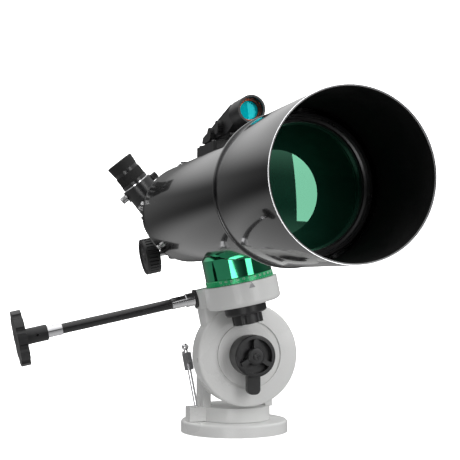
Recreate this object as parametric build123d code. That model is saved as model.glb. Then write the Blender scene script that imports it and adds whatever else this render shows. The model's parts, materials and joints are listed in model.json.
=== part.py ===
from build123d import *
import math
import os

os.makedirs("parts", exist_ok=True)

# Small refractor telescope on an equatorial mount head.
# World frame, millimetres: +Z up, the tube looks along -Y, the tripod screw hole is at the origin.
# Head frame: origin where the polar axis (along Y) meets the plane of the declination axis (along Z).
# Tube frame: origin on the optical axis above the declination axis, same directions as the head frame.

# ---- general fits ----
run_gap = 0.05          # radial clearance of shafts that turn or slide
seat_gap = 0.03         # radial clearance of pieces fixed in a seat
face_gap = 0.3          # gap between faces of pieces that move past each other

# ---- mount placing ----
reach = 70.0            # declination axis in front of the azimuth axis
lean = 12.0             # rest turn of the head about the polar axis, to the left

# ---- polar axis ----
ra_barrel_r = 27.0
ra_barrel_length = 52.0
ra_axle_r = 10.0
end_cap_r = 22.0
end_cap_thick = 6.0
disc_r = 50.5
disc_thick = 26.0
groove_r = 32.0
groove_width = 2.0
groove_depth = 1.5

# ---- base and column ----
base_r = 54.0
base_height = 12.0
thread_r = 4.0          # tapped 3/8-16 hole, wall radius
spigot_r = 16.0
spigot_height = 8.0
table_height = 14.0
cheek_clear = 1.4       # gap between the polar barrel and a cheek
cheek_gap = ra_barrel_r + cheek_clear
cheek_thick = 7.6
cheek_half_depth = 14.0
table_r = cheek_gap + cheek_thick
disc_clear = 3.2        # gap between the disc and the column's table
polar_height = base_height + face_gap + table_height + disc_clear + disc_r
trunnion_r = 4.0
trunnion_head_r = 8.0
trunnion_head = 3.5

# ---- azimuth clamp bolt ----
bolt_r = 2.0
bolt_tilt = -11.0
bolt_outset = 5.0       # foot of the bolt outside the table
bolt_foot_x = -(table_r + bolt_outset)
bolt_y = -5.0
bolt_lug_half = 9.0
wing_low = 38.0
wing_length = 20.0
wing_high = wing_low + wing_length
wing_span = 10.0
ball_r = 3.6

# ---- polar clamp ----
clamp_cup_r = 19.5
clamp_cup_depth = 9.0
clamp_ring_depth = 14.0
clamp_recess = 6.0
clamp_rim = 3.0
clamp_rib = 4.5
clamp_arm_length = 37.0
clamp_arm_width = 13.0
clamp_knob_r = 8.5
clamp_knob_depth = 8.0
clamp_stud_r = 4.0

# ---- declination housing ----
cap_r = 20.0
cap_height = 9.2
cap_wall = 3.2
disc_front = cap_r + 1.0
housing_clear = 0.5     # housing's underside above the disc's rim
housing_height = 22.0
housing_wall = 8.5
floor_thick = 6.0
housing_r = 35.5
housing_low = disc_r + housing_clear
housing_high = housing_low + housing_height
cavity_r = housing_r - housing_wall
cavity_floor = housing_low + floor_thick
spindle_r = 8.0
spindle_low = housing_low - 4.5
wheel_r = 17.6
wheel_thick = 8.0
wheel_teeth = 60
worm_r = 6.0
worm_gap = 0.4
worm_z = housing_low + 13.5
worm_half_length = 13.0
worm_shaft_r = 4.0
lug_left = -(housing_r + 4.0)
lug_right = housing_r - 1.5
lug_half_depth = 12.5
circle_r = housing_r - 3.0
circle_height = 5.6
lock_knob_r = 14.5
lock_knob_height = 9.0
lock_stud_r = 3.0

# ---- slow-motion rod, distances along -X ----
rod_y = wheel_r + worm_r + worm_gap
bush_r = worm_shaft_r + 3.0
ferrule_r = worm_shaft_r + 1.5
rod_r = ferrule_r - 0.6
ferrule_start = 2.5 - lug_left
ferrule_length = 22.5
rod_length = 106.5
outer_ferrule_length = 13.5
star_hub_length = 21.0
star_thick = 8.5
rod_start = ferrule_start + ferrule_length
rod_end = rod_start + rod_length
ferrule_end = rod_end + outer_ferrule_length
hub_end = ferrule_end + star_hub_length
star_end = hub_end + star_thick
star_r = 26.0
star_lobes = 10
hub_r = 7.5

# ---- saddle hub ----
hub_low = housing_high + face_gap + circle_height
saddle_r = circle_r - 0.5
saddle_side = 19.5
saddle_top_r = saddle_r - 10.0
seat_rise = 22.0        # dovetail bar's seat on the tube above the housing
bar_half_width = 18.0
bar_length = 52.0
bar_thick = 7.6
clamp_screw_r = 3.0
clamp_head_r = 6.0

# ---- optical tube, distances behind the front rim ----
lens_r = 51.0
tube_wall = 2.0
tube_r = lens_r + 1.0
axis_height = housing_high + seat_rise + tube_r     # optical axis above the polar axis
rim_to_dec = 313.0
tube_front = 131.0
tube_length = 307.0
tube_rear = tube_front + tube_length
first_screw = -123.0    # turn of the first tube screw from the top
cell_wall = 5.0
cell_r = lens_r + cell_wall
shield_gap = 3.4
shield_wall = 1.6
shield_r = cell_r + shield_gap + shield_wall
shield_length = tube_front - 3.0
ring_r = shield_r + 0.8
ring_length = 6.0
cell_front = tube_front - 37.0
lens_front = cell_front + 10.0
crown_edge = 5.5
flint_edge = 7.0
spacer_thick = 0.8
lens_curve = 300.0
flint_back_curve = -900.0
retainer_thick = 4.0
retainer_wall = 1.6
spigot_length = 12.0
baffle_places = (tube_front + 84.0, tube_front + 189.0)
baffle_bores = (tube_r - 10.0, tube_r - 18.0)

# ---- focuser ----
draw_r = 27.0
draw_wall = 1.5
flange_length = 7.0
cone_length = 11.0
barrel_wall = 6.0
barrel_r = draw_r + barrel_wall
barrel_end = tube_rear + 84.0
draw_front = tube_rear - 12.0
draw_rear = barrel_end + 14.0
tooth_module = 1.0
pinion_teeth = 14
pinion_place = tube_rear + 64.0
rack_bar = 3.0
rack_width = 8.0
rack_front = tube_rear - 4.0
rack_rear = barrel_end + 2.0
bracket_half_width = 17.0
bracket_half_length = 14.0
pinion_shaft_r = 3.0
focus_knob_r = 20.0
focus_knob_thick = 15.0
focus_knob_inner = 33.0
lock_place = tube_rear + 26.0
lock_head_r = 6.0
lock_turn = lean        # the lock screw stands upright at rest
nose_r = 15.875         # 1.25 inch barrel
collar_r = draw_r + 4.0
collar_length = 14.0
collar_screw_turn = -55.0

# ---- star diagonal and eyepiece ----
diagonal_half = 18.0
diagonal_gap = 3.0      # between the drawtube collar and the diagonal's body
diagonal_bore = 14.0
mirror_thick = 2.0
back_wall = 3.0
plate_thick = 4.0
diagonal_place = draw_rear + collar_length + diagonal_gap + diagonal_half
diagonal_turn = -27.0
holder_r = nose_r + 3.125
holder_length = 36.0
eyepiece_r = 15.3
eyepiece_length = 21.0
eyecup_length = 12.0
eyepiece_top = diagonal_half + holder_length + eyepiece_length
eyecup_top = eyepiece_top + eyecup_length

# ---- finder ----
finder_turn = lean
finder_axis = tube_r + 27.0     # hood axis above the optical axis
hood_r = 12.5
hood_wall = 1.7
hood_front = 226.0
hood_length = 30.0
finder_half_width = 9.0
shoe_front = hood_front + 74.0
shoe_length = 66.0
shoe_rear = shoe_front + shoe_length
shoe_half_width = 14.0
shoe_height = tube_r + 8.0
finder_wheel_r = 6.5
finder_wheel_thick = 5.0
wheel_places = ((shoe_front - 8.0, shoe_height + 11.0), (shoe_front + 18.0, shoe_height + 8.0))

head_place = Pos(0, -reach, polar_height) * Rot(0, -lean, 0)
tube_place = head_place * Pos(0, 0, axis_height)
diagonal_place_at = tube_place * Pos(0, diagonal_place - rim_to_dec, 0) * Rot(0, diagonal_turn, 0)
finder_place = tube_place * Rot(0, finder_turn, 0)


def save(name, shape, place=Pos(0, 0, 0)):
    """Put a finished piece in its place and write it as one node."""
    export_step(place * shape, "parts/" + name + ".step")


def rod_z(r, low, high, x=0.0, y=0.0):
    """A cylinder along Z between two heights."""
    return Pos(x, y, (low + high) / 2) * Cylinder(r, high - low)


def rod_y_axis(r, low, high, x=0.0, z=0.0):
    """A cylinder along Y between two places."""
    return Pos(x, (low + high) / 2, z) * Rot(90, 0, 0) * Cylinder(r, high - low)


def rod_x(r, low, high, y=0.0, z=0.0):
    """A cylinder along X between two places."""
    return Pos((low + high) / 2, y, z) * Rot(0, 90, 0) * Cylinder(r, high - low)


def block(x0, x1, y0, y1, z0, z1):
    """A box between two corners."""
    return Pos((x0 + x1) / 2, (y0 + y1) / 2, (z0 + z1) / 2) * Box(x1 - x0, y1 - y0, z1 - z0)


def ring_y(outer, inner, low, high):
    """A plain ring along Y."""
    return rod_y_axis(outer, low, high) - rod_y_axis(inner, low - 1, high + 1)


def along(distance):
    """Place along the tube frame's Y of a distance behind the front rim."""
    return distance - rim_to_dec


def turned_y(points):
    """A solid turned about Y from (radius, distance behind the rim) points."""
    outline = [(r, along(s), 0) for r, s in points]
    return revolve(make_face(Polyline(*outline, close=True)), Axis.Y, 360)


def lobed(radius, lobes, thick, depth=0.12):
    """A knob with scooped lobes, along Z from 0."""
    knob = Pos(0, 0, thick / 2) * Cylinder(radius, thick)
    scoop_r = radius * math.pi / lobes * 0.5
    for index in range(lobes):
        place = Rot(0, 0, 360 / lobes * index) * Pos(radius + scoop_r * (1 - 2 * depth), 0, thick / 2)
        knob -= place * Cylinder(scoop_r, thick + 2)
    return knob


def thumbscrew(shank_r, shank, head_r, head):
    """A knurled thumbscrew along Z: its shank ends at 0, its head is above."""
    screw = rod_z(shank_r, -shank, 0.01)
    notches = 16
    top = rod_z(head_r, 0, head)
    for index in range(notches):
        turn = Rot(0, 0, 360 / notches * index)
        top -= turn * Pos(head_r, 0, head / 2) * Rot(0, 0, 45) * Box(0.9, 0.9, head * 0.7)
    return screw + top


# ================= base, column and azimuth clamp =================
def build_base():
    plate = rod_z(base_r, 0, base_height)
    plate = fillet(plate.edges().group_by(Axis.Z)[-1], 2.5)
    plate += rod_z(spigot_r, base_height - 1, base_height + spigot_height)
    plate -= rod_z(thread_r, -1, base_height + spigot_height + 1)
    save("base_plate", plate)


def bolt_frame():
    return Pos(bolt_foot_x, bolt_y, base_height + table_height) * Rot(0, bolt_tilt, 0)


def build_column():
    low = base_height + face_gap
    high = low + table_height
    column = rod_z(table_r, low, high)
    column += block(bolt_foot_x - bolt_lug_half, 0, bolt_y - bolt_lug_half, bolt_y + bolt_lug_half, low, high)
    for side in (-1, 1):
        middle = side * (cheek_gap + cheek_thick / 2)
        cheek = Pos(middle, 0, (high + polar_height) / 2 - 0.5) * Box(
            cheek_thick, 2 * cheek_half_depth, polar_height - high + 1)
        cheek += Pos(middle, 0, polar_height) * Rot(0, 90, 0) * Cylinder(cheek_half_depth, cheek_thick)
        column += cheek
        column -= rod_x(trunnion_r + run_gap, middle - cheek_thick, middle + cheek_thick, 0, polar_height)
    column -= rod_z(spigot_r + run_gap, low - 1, base_height + spigot_height + face_gap)
    column -= bolt_frame() * rod_z(bolt_r + run_gap, -30, 30)
    save("column", column)
    bolts = []
    for side in (-1, 1):
        start = side * (ra_axle_r + 4)
        inner = side * (cheek_gap + cheek_thick)
        outer = side * (cheek_gap + cheek_thick + trunnion_head)
        bolt = rod_x(trunnion_r, min(start, inner), max(start, inner), 0, polar_height)
        bolt += rod_x(trunnion_head_r, min(inner, outer) , max(inner, outer), 0, polar_height)
        socket = Pos(outer, 0, polar_height) * Rot(0, 90, 0) * extrude(RegularPolygon(3.5, 6), 3, both=True)
        bolts.append(Pos(side * face_gap / 2, 0, 0) * (bolt - socket))
    save("latitude_trunnions", Compound(children=bolts))


def build_azimuth_bolt():
    bolt = rod_z(bolt_r, -table_height + 1, wing_high)
    bolt += Pos(0, 0, wing_high + ball_r - 0.6) * Sphere(ball_r)
    save("azimuth_bolt", bolt, bolt_frame())
    wings = rod_z(4.6, wing_low, wing_high - 3)
    for side in (-1, 1):
        outline = Polyline((0, wing_low + 3), (side * wing_span, wing_high - 9), (side * wing_span, wing_high - 2),
                           (0, wing_high - 4), close=True)
        wings += extrude(make_face(Plane.YZ * outline), 2.2, both=True)
    wings -= rod_z(bolt_r + seat_gap, wing_low - 1, wing_high + 1)
    save("azimuth_bolt_wings", wings, bolt_frame())


# ================= polar axis =================
def build_polar():
    start = disc_front + disc_thick + face_gap
    end = start + ra_barrel_length
    barrel = rod_y_axis(ra_barrel_r, start, end)
    barrel = fillet(barrel.edges().filter_by(GeomType.CIRCLE), 1.5)
    barrel -= rod_y_axis(ra_axle_r + run_gap, start - 1, end + 1)
    # the trunnions lie along world X, so their holes undo the lean
    for side in (-1, 1):
        inner = side * (ra_axle_r + 3.5)
        outer = side * (ra_barrel_r + 3)
        barrel -= rod_x(trunnion_r + seat_gap, min(inner, outer), max(inner, outer), reach, 0)
    save("polar_housing", barrel, Pos(0, -reach, polar_height))
    axle = rod_y_axis(ra_axle_r, disc_front + disc_thick / 2, end + 1)
    axle += rod_y_axis(end_cap_r, end + face_gap, end + face_gap + end_cap_thick)
    save("polar_axle", axle, head_place)


def build_casting():
    back = disc_front + disc_thick
    disc = rod_y_axis(disc_r, disc_front, back)
    disc = fillet(disc.edges().filter_by(GeomType.CIRCLE), 2.5)
    groove = ring_y(groove_r + groove_width / 2, groove_r - groove_width / 2, disc_front - 1,
                    disc_front + groove_depth)
    disc -= groove
    neck = block(lug_left + 3, lug_right - 4, disc_front + 2, back - 2, disc_r * 0.6, worm_z)
    neck = fillet(neck.edges().filter_by(Axis.Z), 5)
    lug = block(lug_left, lug_right, rod_y - lug_half_depth, rod_y + lug_half_depth, housing_low + 3,
                housing_high - 0.5)
    lug = fillet(lug.edges().filter_by(Axis.X), 4)
    drum = rod_z(housing_r, housing_low, housing_high)
    drum = fillet(drum.edges().group_by(Axis.Z)[0], 4)
    casting = disc + neck + lug + drum
    casting -= rod_z(cavity_r, cavity_floor, housing_high + 1)
    casting -= rod_z(spindle_r + run_gap, housing_low - 1, cavity_floor + 1)
    casting -= rod_x(worm_r + 1, lug_left + 8, lug_right - 5, rod_y, worm_z)
    casting -= rod_x(bush_r + seat_gap, lug_left - 1, lug_left + 8.5, rod_y, worm_z)
    casting -= rod_x(worm_shaft_r + run_gap, lug_right - 6, lug_right + 1, rod_y, worm_z)
    casting -= rod_y_axis(ra_axle_r + seat_gap, disc_front + disc_thick / 2 - 0.5, back + 1)
    casting -= rod_y_axis(clamp_stud_r + 1, disc_front - 1, disc_front + 9)
    save("polar_disc_and_declination_housing", casting, head_place)


def build_clamp():
    front = disc_front
    cup = rod_y_axis(clamp_cup_r, front - clamp_cup_depth, front)
    cup -= rod_y_axis(clamp_stud_r + run_gap, front - clamp_cup_depth - 1, front + 1)
    save("clamp_cup", cup, head_place)
    back = front - clamp_cup_depth - face_gap
    ring_front = back - clamp_ring_depth
    lever = rod_y_axis(clamp_cup_r + 0.6, ring_front, back)
    lever = fillet(lever.edges().group_by(Axis.Y)[0], 1.5)
    arm_front = ring_front + clamp_recess
    arm = block(-clamp_arm_width / 2, clamp_arm_width / 2, arm_front, back - 1.5, -clamp_arm_length, 0)
    arm = fillet(arm.edges().group_by(Axis.Z)[0].filter_by(Axis.Y), 5)
    lever += arm
    recess_r = clamp_cup_r - clamp_rim
    lever -= rod_y_axis(recess_r, ring_front - 1, ring_front + clamp_recess)
    lever -= rod_y_axis(clamp_stud_r + run_gap, ring_front - 1, back + 1)
    upright = head_place * Rot(0, lean, 0)
    save("clamp_lever", lever, upright)
    knob_back = ring_front + clamp_recess - face_gap
    knob_front = knob_back - clamp_knob_depth
    knob = rod_y_axis(clamp_knob_r, knob_front, knob_back)
    knob = fillet(knob.edges().group_by(Axis.Y)[0], 2)
    for index in range(3):
        rib = block(-clamp_rib / 2, clamp_rib / 2, knob_front + 1, knob_back, 0, recess_r - face_gap)
        rib = fillet(rib.edges().filter_by(Axis.Y).group_by(Axis.Z)[-1], clamp_rib / 3)
        knob += Rot(0, 120 * index, 0) * rib
    knob -= rod_y_axis(2.6, knob_front - 1, knob_front + 3)
    knob += rod_y_axis(clamp_stud_r, knob_back - 1, front + 6)
    save("clamp_knob", knob, upright)


# ================= declination axis =================

def build_declination():
    spindle = rod_z(spindle_r, spindle_low, hub_low + 6)
    spindle += rod_z(spindle_r + 3, cavity_floor + face_gap, worm_z - wheel_thick / 2)
    save("declination_spindle", spindle, head_place)
    wheel = rod_z(wheel_r, worm_z - wheel_thick / 2, worm_z + wheel_thick / 2)
    for index in range(wheel_teeth):
        place = Rot(0, 0, 360 / wheel_teeth * index) * Pos(wheel_r, 0, worm_z) * Rot(0, 0, 45)
        wheel -= place * Box(0.8, 0.8, wheel_thick + 1)
    wheel -= rod_z(spindle_r + seat_gap, worm_z - wheel_thick, worm_z + wheel_thick)
    save("worm_wheel", wheel, head_place)
    circle = rod_z(circle_r, housing_high + face_gap, hub_low)
    circle = chamfer(circle.edges().group_by(Axis.Z)[-1], 1)
    circle -= rod_z(spindle_r + seat_gap, housing_high, hub_low + 1)
    save("setting_circle", circle, head_place)
    cap_low = housing_low - cap_height
    cap = rod_z(cap_r, cap_low, housing_low)
    cap = fillet(cap.edges().group_by(Axis.Z)[0], 2.5)
    cap -= rod_z(spindle_r + 4, cap_low + cap_wall, housing_low + 1)
    cap -= rod_z(lock_stud_r + run_gap, cap_low - 1, cap_low + cap_wall + 1)
    save("declination_cap", cap, head_place)
    knob = Pos(0, 0, cap_low - face_gap - lock_knob_height) * lobed(lock_knob_r, 6, lock_knob_height, 0.2)
    knob += rod_z(lock_stud_r, cap_low - face_gap - 1, spindle_low - face_gap)
    save("declination_lock_knob", knob, head_place)


def build_hub():
    top = axis_height
    cone_top = axis_height - math.sqrt((tube_r + 1) ** 2 - saddle_r ** 2)
    outline = Polyline((0, hub_low), (saddle_r, hub_low), (saddle_r, hub_low + saddle_side),
                       (saddle_top_r, cone_top + 8), (0, cone_top + 8), close=True)
    hub = revolve(make_face(Plane.XZ * outline), Axis.Z, 360)
    hub -= Pos(0, 0, axis_height) * Rot(90, 0, 0) * Cylinder(tube_r + 0.5, 4 * saddle_r)
    bar_top = axis_height - tube_r
    bar_low = bar_top - bar_thick
    pocket = bar_length / 2 + seat_gap
    hub -= block(-bar_half_width - seat_gap, bar_half_width + seat_gap, -pocket, pocket, bar_low, top)
    hub -= rod_z(spindle_r + seat_gap, hub_low - 1, hub_low + 6)
    screw_z = hub_low + 0.45 * saddle_side
    hub -= rod_y_axis(clamp_screw_r + run_gap, bar_length / 2 - 4, saddle_r + 1, 0, screw_z)
    save("saddle_hub", hub, head_place)
    bar = block(-bar_half_width, bar_half_width, -bar_length / 2, bar_length / 2, bar_low, bar_top + 4)
    bar -= Pos(0, 0, axis_height) * Rot(90, 0, 0) * Cylinder(tube_r + seat_gap, 2 * bar_length)
    save("dovetail_bar", bar, head_place)
    screw = thumbscrew(clamp_screw_r, saddle_r - bar_length / 2, clamp_head_r, 9)
    save("saddle_clamp_screw", screw, head_place * Pos(0, saddle_r + face_gap, screw_z) * Rot(-90, 0, 0))


def build_slow_motion():
    worm = rod_x(worm_shaft_r, -ferrule_start - 10, lug_right - 1, rod_y, worm_z)
    core = rod_x(worm_r, -worm_half_length, worm_half_length, rod_y, worm_z)
    turns = 7
    pitch = 2 * worm_half_length / (turns + 1)
    for index in range(turns):
        x = -worm_half_length + pitch * (index + 1)
        core -= rod_x(worm_r + 1, x - 0.6, x + 0.6, rod_y, worm_z) - rod_x(worm_r - 1.2, x - 1, x + 1, rod_y, worm_z)
    save("worm_shaft", worm + core, head_place)
    bush = rod_x(bush_r, lug_left, lug_left + 8, rod_y, worm_z)
    bush += rod_x(bush_r + 2, lug_left - 1.6, lug_left, rod_y, worm_z)
    bush -= rod_x(worm_shaft_r + run_gap, lug_left - 3, lug_left + 9, rod_y, worm_z)
    save("worm_bush", bush, head_place)
    collar = rod_x(ferrule_r, -rod_start, -ferrule_start, rod_y, worm_z)
    collar += rod_x(ferrule_r + 1, -ferrule_start - 8, -ferrule_start, rod_y, worm_z)
    collar -= rod_x(worm_shaft_r + seat_gap, -ferrule_start - 10.5, -ferrule_start + 1, rod_y, worm_z)
    save("slow_motion_rod", rod_x(rod_r, -rod_end, -rod_start, rod_y, worm_z), head_place)
    outer = rod_x(ferrule_r, -ferrule_end, -rod_end, rod_y, worm_z)
    save("rod_ferrules", Compound(children=[collar, outer]), head_place)
    hub = rod_x(hub_r, -hub_end, -ferrule_end, rod_y, worm_z)
    hub = fillet(hub.edges().filter_by(GeomType.CIRCLE), 1)
    screw_x = -(hub_end + ferrule_end) / 2
    hub -= Pos(screw_x, rod_y - hub_r, worm_z) * Rot(90, 0, 0) * Cylinder(1.55, 5)
    save("star_knob_hub", hub, head_place)
    star = lobed(star_r, star_lobes, star_end - hub_end, 0.3)
    star = Pos(-hub_end, rod_y, worm_z) * Rot(0, -90, 0) * star
    save("star_knob", star, head_place)


# ================= optical tube =================
def lens(front_s, edge, r, front_curve, back_curve):
    """A round lens between two spherical faces; a positive curve bulges outwards on its own side."""
    def sag(curve):
        return math.copysign(abs(curve) - math.sqrt(curve ** 2 - r ** 2), curve)
    y0 = along(front_s)
    y1 = y0 + edge
    front_tip = y0 - sag(front_curve)
    back_tip = y1 + sag(back_curve)
    mid = r / 2
    front_mid = y0 - (sag(front_curve) - math.copysign(
        abs(front_curve) - math.sqrt(front_curve ** 2 - mid ** 2), front_curve))
    back_mid = y1 + (sag(back_curve) - math.copysign(
        abs(back_curve) - math.sqrt(back_curve ** 2 - mid ** 2), back_curve))
    edges = [
        ThreePointArc((0, front_tip), (mid, front_mid), (r, y0)),
        Line((r, y0), (r, y1)),
        ThreePointArc((r, y1), (mid, back_mid), (0, back_tip)),
        Line((0, back_tip), (0, front_tip)),
    ]
    return revolve(make_face(Wire(edges)), Axis.Y, 360)


def build_tube():
    inner = tube_r - tube_wall
    shield = ring_y(shield_r, shield_r - shield_wall, along(0), along(shield_length))
    save("dew_shield", shield, tube_place)
    ring = turned_y([(cell_r + seat_gap, shield_length), (ring_r, shield_length),
                     (ring_r, shield_length + ring_length), (tube_r + seat_gap, shield_length + ring_length),
                     (tube_r + seat_gap, tube_front + seat_gap), (cell_r + seat_gap, tube_front + seat_gap)])
    save("dew_shield_ring", ring, tube_place)
    lens_back = lens_front + crown_edge + spacer_thick + flint_edge
    bore = lens_r + seat_gap
    cell = turned_y([(bore + 1.8, cell_front), (cell_r - 1, cell_front), (cell_r, cell_front + 1),
                     (cell_r, tube_front), (inner - seat_gap, tube_front),
                     (inner - seat_gap, tube_front + spigot_length), (inner - 2.5, tube_front + spigot_length),
                     (inner - 2.5, lens_back), (bore, lens_back), (bore, lens_front - retainer_thick),
                     (bore + 1.8, lens_front - retainer_thick - 1)])
    save("objective_cell", cell, tube_place)
    crown = lens(lens_front, crown_edge, lens_r, lens_curve, lens_curve)
    save("crown_lens", crown, tube_place)
    flint_front = lens_front + crown_edge + spacer_thick
    flint = lens(flint_front, flint_edge, lens_r, -lens_curve, flint_back_curve)
    save("flint_lens", flint, tube_place)
    retainer = ring_y(lens_r, lens_r - retainer_wall, along(lens_front - retainer_thick), along(lens_front))
    save("lens_retaining_ring", retainer - crown, tube_place)
    tube = ring_y(tube_r, inner, along(tube_front), along(tube_rear))
    for index in range(3):
        tube -= tube_screw_hole(index, 1.55)
    save("main_tube", tube, tube_place)
    screws = []
    for index in range(3):
        screws.append(tube_screw_hole(index, 1.5) & ring_y(tube_r + 1.4, inner + 0.05, along(0), along(tube_rear)))
    head = Pos(0, along(tube_rear) - 5, tube_r + 0.85) * Cylinder(3, 1.3)
    heads = [Rot(0, first_screw + 120 * index, 0) * head for index in range(3)]
    screws = [tube_place * (shank + head) for shank, head in zip(screws, heads)]
    save("small_screws", Compound(children=screws + finder_shoe_screws()))
    baffles = []
    for index, place in enumerate(baffle_places):
        rim = ring_y(inner - seat_gap, inner - 2, along(place) - 4, along(place) + 4)
        plate = ring_y(inner - seat_gap, baffle_bores[index], along(place) - 0.6, along(place) + 0.6)
        baffles.append(rim + plate)
    save("tube_baffles", Compound(children=baffles), tube_place)


def tube_screw_hole(index, r):
    """A radial cylinder through the tube wall near its rear edge."""
    turn = Rot(0, first_screw + 120 * index, 0)
    return turn * Pos(0, along(tube_rear) - 5, tube_r) * Cylinder(r, 2 * tube_wall + 4)


# ================= focuser =================
pinion_pitch_r = tooth_module * pinion_teeth / 2
rack_pitch_z = -(draw_r + rack_bar)
pinion_z = rack_pitch_z - pinion_pitch_r
tooth_pitch = math.pi * tooth_module


def build_focuser():
    inner = tube_r - tube_wall
    nose_front = tube_rear - spigot_length
    cone_end = tube_rear + flange_length + cone_length
    body = turned_y([(0, nose_front), (inner - seat_gap, nose_front), (inner - seat_gap, tube_rear),
                     (tube_r, tube_rear), (tube_r, tube_rear + flange_length), (barrel_r, cone_end),
                     (barrel_r, barrel_end), (0, barrel_end)])
    low = pinion_z - pinion_shaft_r - 6
    mid_y = along(pinion_place)
    bracket = block(-bracket_half_width, bracket_half_width, mid_y - bracket_half_length,
                    mid_y + bracket_half_length, low, 0)
    bracket = fillet(bracket.edges().group_by(Axis.Z)[0], 3)
    body += bracket
    boss_top = lock_boss_top()
    lock_at = Rot(0, lock_turn, 0)
    body += lock_at * rod_z(8, 0, boss_top, 0, along(lock_place))
    for index in range(3):
        body -= tube_screw_hole(index, 3.2) & ring_y(inner + 1, inner - 8, along(nose_front), along(tube_rear))
    body -= rod_y_axis(draw_r + run_gap, along(nose_front) - 1, along(barrel_end) + 1)
    body -= rod_y_axis(inner - 6, along(nose_front) - 1, along(tube_rear) + 2)
    slot = rack_width / 2 + 0.4
    body -= block(-slot, slot, along(nose_front) - 1, along(barrel_end) + 1, rack_pitch_z - 2, 0)
    body -= rod_x(pinion_pitch_r + 2, -slot, slot, mid_y, pinion_z)
    body -= rod_x(pinion_shaft_r + run_gap, -40, 40, mid_y, pinion_z)
    body -= lock_at * rod_z(2 + run_gap, draw_r - 2, boss_top + 1, 0, along(lock_place))
    save("focuser_housing", body, tube_place)
    screw = thumbscrew(2, boss_top - draw_r - face_gap - 0.5, lock_head_r, 11)
    save("focus_lock_screw", screw, tube_place * lock_at * Pos(0, along(lock_place), boss_top + face_gap))


def lock_boss_top():
    return barrel_r + 13.0


def build_drawtube():
    tube = ring_y(draw_r, draw_r - draw_wall, along(draw_front), along(draw_rear))
    save("drawtube", tube, tube_place)
    top = -draw_r + 1
    bar = block(-rack_width / 2, rack_width / 2, along(rack_front), along(rack_rear),
                rack_pitch_z + 1.1 * tooth_module, top)
    bar -= rod_y_axis(draw_r + seat_gap, along(rack_front) - 1, along(rack_rear) + 1)
    count = int((rack_rear - rack_front) / tooth_pitch)
    first = math.ceil((rack_front - pinion_place + 1) / tooth_pitch)
    for index in range(first, first + count - 1):
        centre = along(pinion_place) + index * tooth_pitch
        outline = Polyline((centre - 0.95, rack_pitch_z + 1.2), (centre - 0.3, rack_pitch_z - 0.7),
                           (centre + 0.3, rack_pitch_z - 0.7), (centre + 0.95, rack_pitch_z + 1.2), close=True)
        bar += extrude(make_face(Plane.YZ * outline), rack_width / 2, both=True)
    save("drawtube_rack", bar, tube_place)
    collar_front = draw_rear
    collar = rod_y_axis(collar_r, along(collar_front), along(collar_front + collar_length))
    collar = fillet(collar.edges().group_by(Axis.Y)[-1], 1.5)
    collar += rod_y_axis(draw_r - draw_wall - seat_gap, along(collar_front) - 10, along(collar_front) + 1)
    collar -= rod_y_axis(nose_r + run_gap, along(collar_front) - 11, along(collar_front + collar_length) + 1)
    screw_at = (Pos(0, along(collar_front + collar_length / 2), 0) * Rot(0, collar_screw_turn, 0))
    collar -= screw_at * rod_z(2 + run_gap, nose_r - 1, collar_r + 1)
    save("drawtube_collar", collar, tube_place)
    screw = thumbscrew(2, collar_r - nose_r - face_gap, 5, 7)
    save("collar_screw", screw, tube_place * screw_at * Pos(0, 0, collar_r + face_gap))


def build_pinion():
    mid_y = along(pinion_place)
    shaft = rod_x(pinion_shaft_r, -focus_knob_inner - 8, focus_knob_inner + 8, mid_y, pinion_z)
    half = rack_width / 2 - 0.5
    gear = rod_x(pinion_pitch_r - 1.2, -half, half, mid_y, pinion_z)
    for index in range(pinion_teeth):
        angle = 360 / pinion_teeth * (index + 0.5)
        outline = Polyline((-0.9, pinion_pitch_r - 1.6), (-0.28, pinion_pitch_r + 0.7),
                           (0.28, pinion_pitch_r + 0.7), (0.9, pinion_pitch_r - 1.6), close=True)
        tooth = extrude(make_face(Plane.YZ * outline), half, both=True)
        gear += Pos(0, mid_y, pinion_z) * Rot(angle, 0, 0) * tooth
    save("pinion_shaft", shaft + gear, tube_place)
    knobs = []
    for side in (-1, 1):
        inner = side * focus_knob_inner
        outer = side * (focus_knob_inner + focus_knob_thick)
        knob = rod_x(focus_knob_r, min(inner, outer), max(inner, outer), mid_y, pinion_z)
        grooves = 30
        for index in range(grooves):
            turn = Pos(0, mid_y, pinion_z) * Rot(360 / grooves * index, 0, 0)
            knob -= turn * Pos((inner + outer) / 2, 0, focus_knob_r) * Rot(45, 0, 0) * Box(
                focus_knob_thick - 5, 1.4, 1.4)
        face = outer - side * 2.0
        knob -= rod_x(focus_knob_r - 4.5, min(face, outer + side), max(face, outer + side), mid_y, pinion_z)
        knob -= rod_x(pinion_shaft_r + seat_gap, min(inner - side, inner + side * 8.2),
                      max(inner - side, inner + side * 8.2), mid_y, pinion_z)
        knobs.append(knob)
    save("focus_knobs", Compound(children=knobs), tube_place)


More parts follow.
